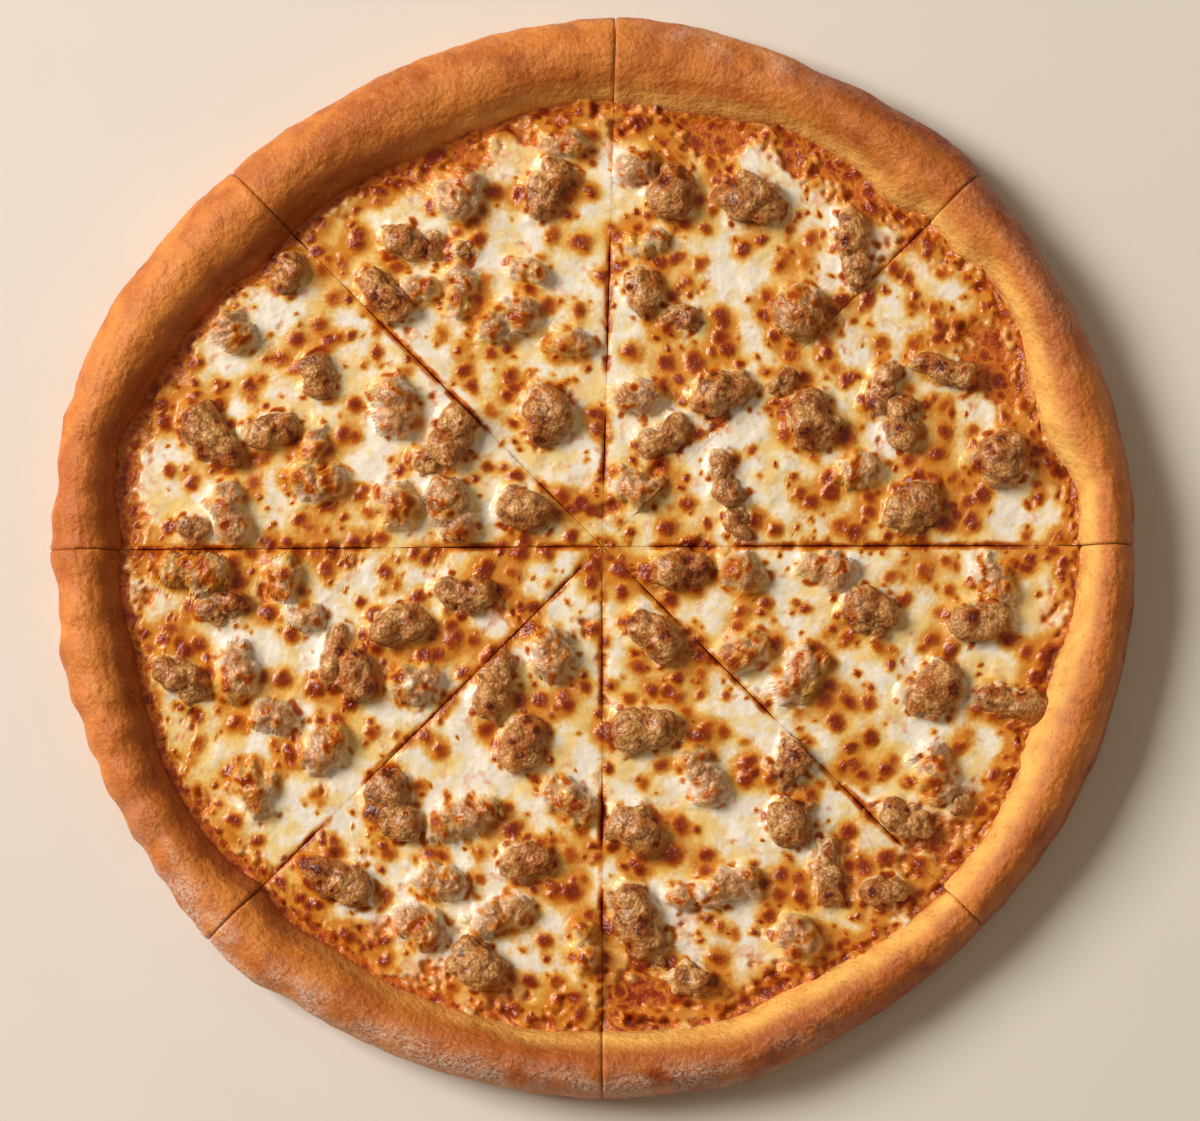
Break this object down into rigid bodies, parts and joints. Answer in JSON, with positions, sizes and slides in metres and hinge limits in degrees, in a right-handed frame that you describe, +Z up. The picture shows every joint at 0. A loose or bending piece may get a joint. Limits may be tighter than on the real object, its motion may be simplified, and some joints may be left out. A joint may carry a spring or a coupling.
{
  "type": "pan pizza",
  "caption": "Round thick-rimmed sausage pizza with browned melted cheese over tomato sauce, cut into wedge slices that still lie together.",
  "frame": {"origin": "middle of the pizza's outline, on the surface that it rests on", "axes": "+Z up; +Y towards the far side of the pizza as it lies in front of somebody; +X to their right"},
  "size_m": [0.3558, 0.355, 0.0278],
  "materials": {
    "crust": "golden-brown baked dough",
    "sauce": "wet dark red tomato sauce",
    "cheese": "oily melted mozzarella with brown blisters",
    "sausage": "browned crumbled sausage"
  },
  "bodies": {
    "root": {"crust_1": "crust", "crust_2": "crust", "crust_3": "crust", "crust_4": "crust", "crust_5": "crust", "crust_6": "crust", "crust_7": "crust", "crust_8": "crust", "sauce_1": "sauce", "sauce_2": "sauce", "sauce_3": "sauce", "sauce_4": "sauce", "sauce_5": "sauce", "sauce_6": "sauce", "sauce_7": "sauce", "sauce_8": "sauce", "cheese_1": "cheese", "cheese_2": "cheese", "cheese_3": "cheese", "cheese_4": "cheese", "cheese_5": "cheese", "cheese_6": "cheese", "cheese_7": "cheese", "cheese_8": "cheese", "sausage_1_1": "sausage", "sausage_1_2": "sausage", "sausage_1_3": "sausage", "sausage_1_4": "sausage", "sausage_1_5": "sausage", "sausage_2_1": "sausage", "sausage_2_2": "sausage", "sausage_2_3": "sausage", "sausage_2_4": "sausage", "sausage_2_5": "sausage", "sausage_3_1": "sausage", "sausage_3_2": "sausage", "sausage_3_3": "sausage", "sausage_3_4": "sausage", "sausage_4_1": "sausage", "sausage_4_2": "sausage", "sausage_4_3": "sausage", "sausage_4_4": "sausage", "sausage_4_5": "sausage", "sausage_5_1": "sausage", "sausage_5_2": "sausage", "sausage_5_3": "sausage", "sausage_5_4": "sausage", "sausage_5_5": "sausage", "sausage_6_1": "sausage", "sausage_6_2": "sausage", "sausage_6_3": "sausage", "sausage_6_4": "sausage", "sausage_7_1": "sausage", "sausage_7_2": "sausage", "sausage_7_3": "sausage", "sausage_7_4": "sausage", "sausage_7_5": "sausage", "sausage_8_1": "sausage", "sausage_8_2": "sausage", "sausage_8_3": "sausage"}
  },
  "joints": []
}
